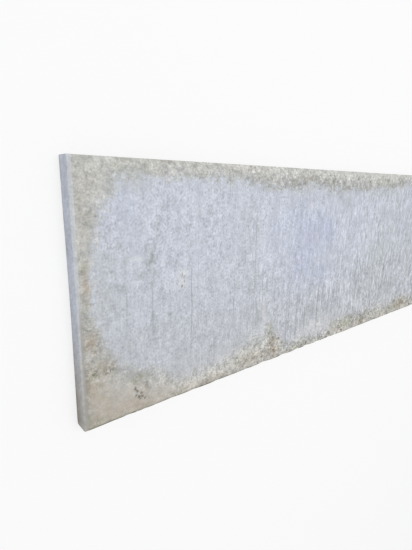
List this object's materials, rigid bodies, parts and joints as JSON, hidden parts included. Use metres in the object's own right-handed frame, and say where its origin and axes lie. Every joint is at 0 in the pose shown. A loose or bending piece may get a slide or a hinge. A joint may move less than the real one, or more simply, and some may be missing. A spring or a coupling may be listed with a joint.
{
  "type": "concrete slab",
  "caption": "Long thin precast concrete slab with a bevel round its moulded face, plain straight edges and a flat floated back; it lies flat or stands on edge as a fence or edging panel.",
  "frame": {"origin": "middle of the underside, on the surface that the slab lies on", "axes": "+X along the slab, away from the end that the picture shows; +Y across it, towards the edge that is uppermost in the picture; +Z out of the moulded face"},
  "size_m": [2, 0.5, 0.04],
  "materials": {
    "concrete": "weathered cast concrete, matt, with a pale bluish bloom and beige edges"
  },
  "bodies": {
    "root": {"slab": "concrete"}
  },
  "joints": []
}
